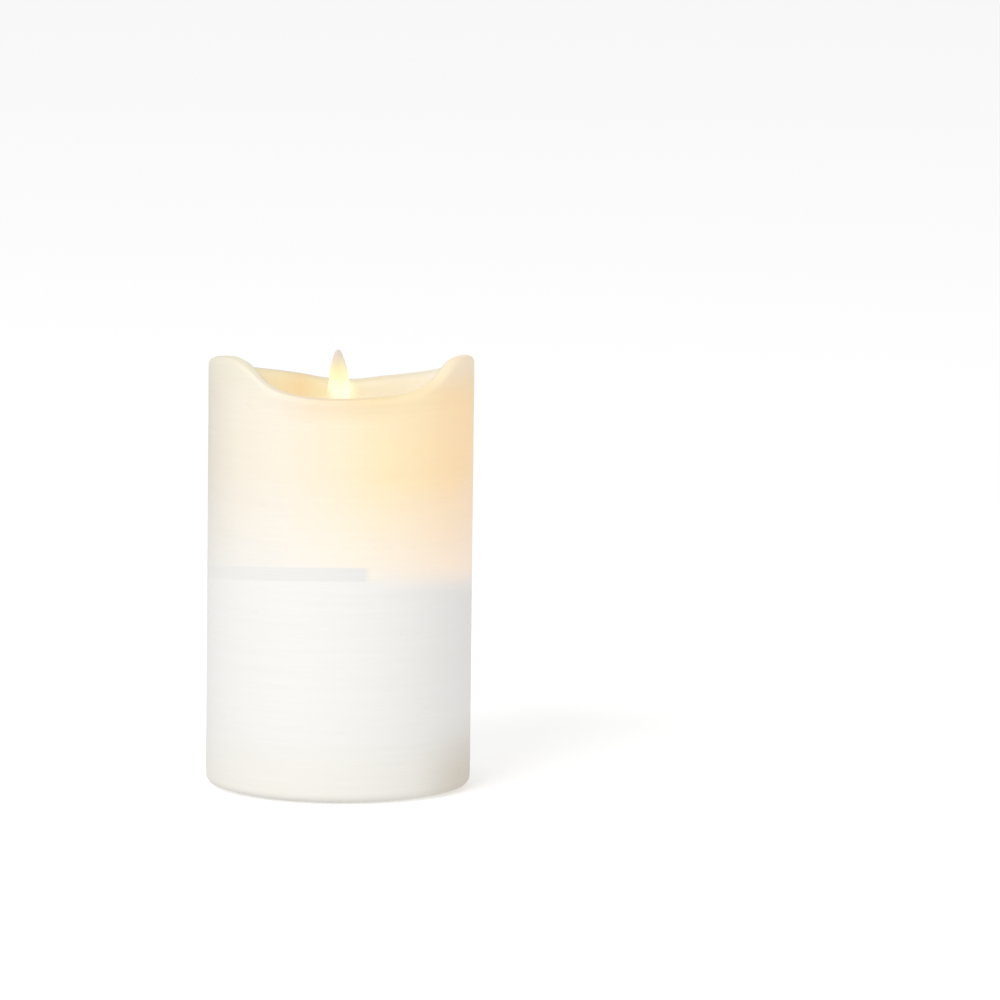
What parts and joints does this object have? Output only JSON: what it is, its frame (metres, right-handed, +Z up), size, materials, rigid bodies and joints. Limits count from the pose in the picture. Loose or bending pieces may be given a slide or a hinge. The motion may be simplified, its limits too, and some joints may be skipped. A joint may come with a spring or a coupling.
{
  "type": "flameless led candle",
  "caption": "Ivory wax pillar candle with a melted rim, a swinging LED flame in a sunken pool, a battery compartment and a slide switch underneath.",
  "frame": {"origin": "centre of the resting face, on the candle's axis", "axes": "+Z up along the candle's axis, -Y the front that is low between two lobes of the rim, +X to the right of that front"},
  "size_m": [0.0762, 0.0762, 0.1255],
  "materials": {
    "ivory_wax": "ivory paraffin wax, finely brushed round the shell, satin and translucent",
    "ivory_abs": "moulded ivory ABS, fine matt texture",
    "white_abs": "moulded white ABS",
    "module_abs": "moulded cream ABS",
    "flame_plastic": "frosted warm white plastic, lit from below",
    "led_epoxy": "clear epoxy over a warm chip",
    "zinc_steel": "zinc plated steel",
    "nickel_plate": "nickel plated spring steel",
    "magnet_plate": "nickel plated magnet",
    "enamelled_copper": "enamelled copper winding wire",
    "cell_jacket": "printed foil jacket with plain colour bands",
    "green_board": "green solder mask",
    "black_epoxy": "black moulded component body",
    "black_plastic": "black moulded plastic",
    "red_sleeving": "red PVC insulation",
    "black_sleeving": "black PVC insulation",
    "white_sleeving": "white PVC insulation"
  },
  "bodies": {
    "candle_body": {"wax_shell": "ivory_wax", "base_plate": "ivory_abs", "battery_sleeve": "white_abs", "core_drum": "white_abs", "module_cup": "module_abs", "module_cap": "module_abs", "led": "led_epoxy", "base_screw_1": "zinc_steel", "base_screw_2": "zinc_steel", "base_screw_3": "zinc_steel", "module_screw_1": "zinc_steel", "module_screw_2": "zinc_steel", "slide_switch_can": "zinc_steel", "pivot_wire": "zinc_steel", "coil_core": "zinc_steel", "led_anode": "zinc_steel", "led_cathode": "zinc_steel", "top_spring": "nickel_plate", "contact_positive": "nickel_plate", "contact_negative": "nickel_plate", "timing_crystal": "nickel_plate", "cell_a": "cell_jacket", "cell_b": "cell_jacket", "control_board": "green_board", "module_board": "green_board", "control_chip": "black_epoxy", "storage_capacitor": "black_epoxy", "resistor_1": "black_epoxy", "resistor_2": "black_epoxy", "resistor_3": "black_epoxy", "coil_bobbin": "black_epoxy", "coil_winding": "enamelled_copper", "wire_battery_positive": "red_sleeving", "wire_led_positive": "red_sleeving", "wire_battery_negative": "black_sleeving", "wire_led_negative": "black_sleeving", "wire_coil_start": "white_sleeving", "wire_coil_end": "white_sleeving"},
    "flame": {"flame": "flame_plastic", "flame_magnet": "magnet_plate"},
    "battery_door": {"battery_door": "ivory_abs", "door_link_plate": "nickel_plate", "door_spring": "nickel_plate"},
    "power_switch": {"switch_knob": "black_plastic", "switch_lever": "black_plastic"}
  },
  "joints": [
    {"name": "flame_swing", "type": "hinge", "parent": "candle_body", "child": "flame", "pos_m": [0, 0, 0.096], "axis": [0, 1, 0], "range_deg": [-10, 10]},
    {"name": "battery_door_tilt", "type": "hinge", "parent": "candle_body", "child": "battery_door", "pos_m": [0, 0.0105, 0.0002], "axis": [1, 0, 0], "range_deg": [0, 70]},
    {"name": "power_switch_slide", "type": "slide", "parent": "candle_body", "child": "power_switch", "axis": [1, 0, 0], "range_m": [0, 0.004]}
  ]
}
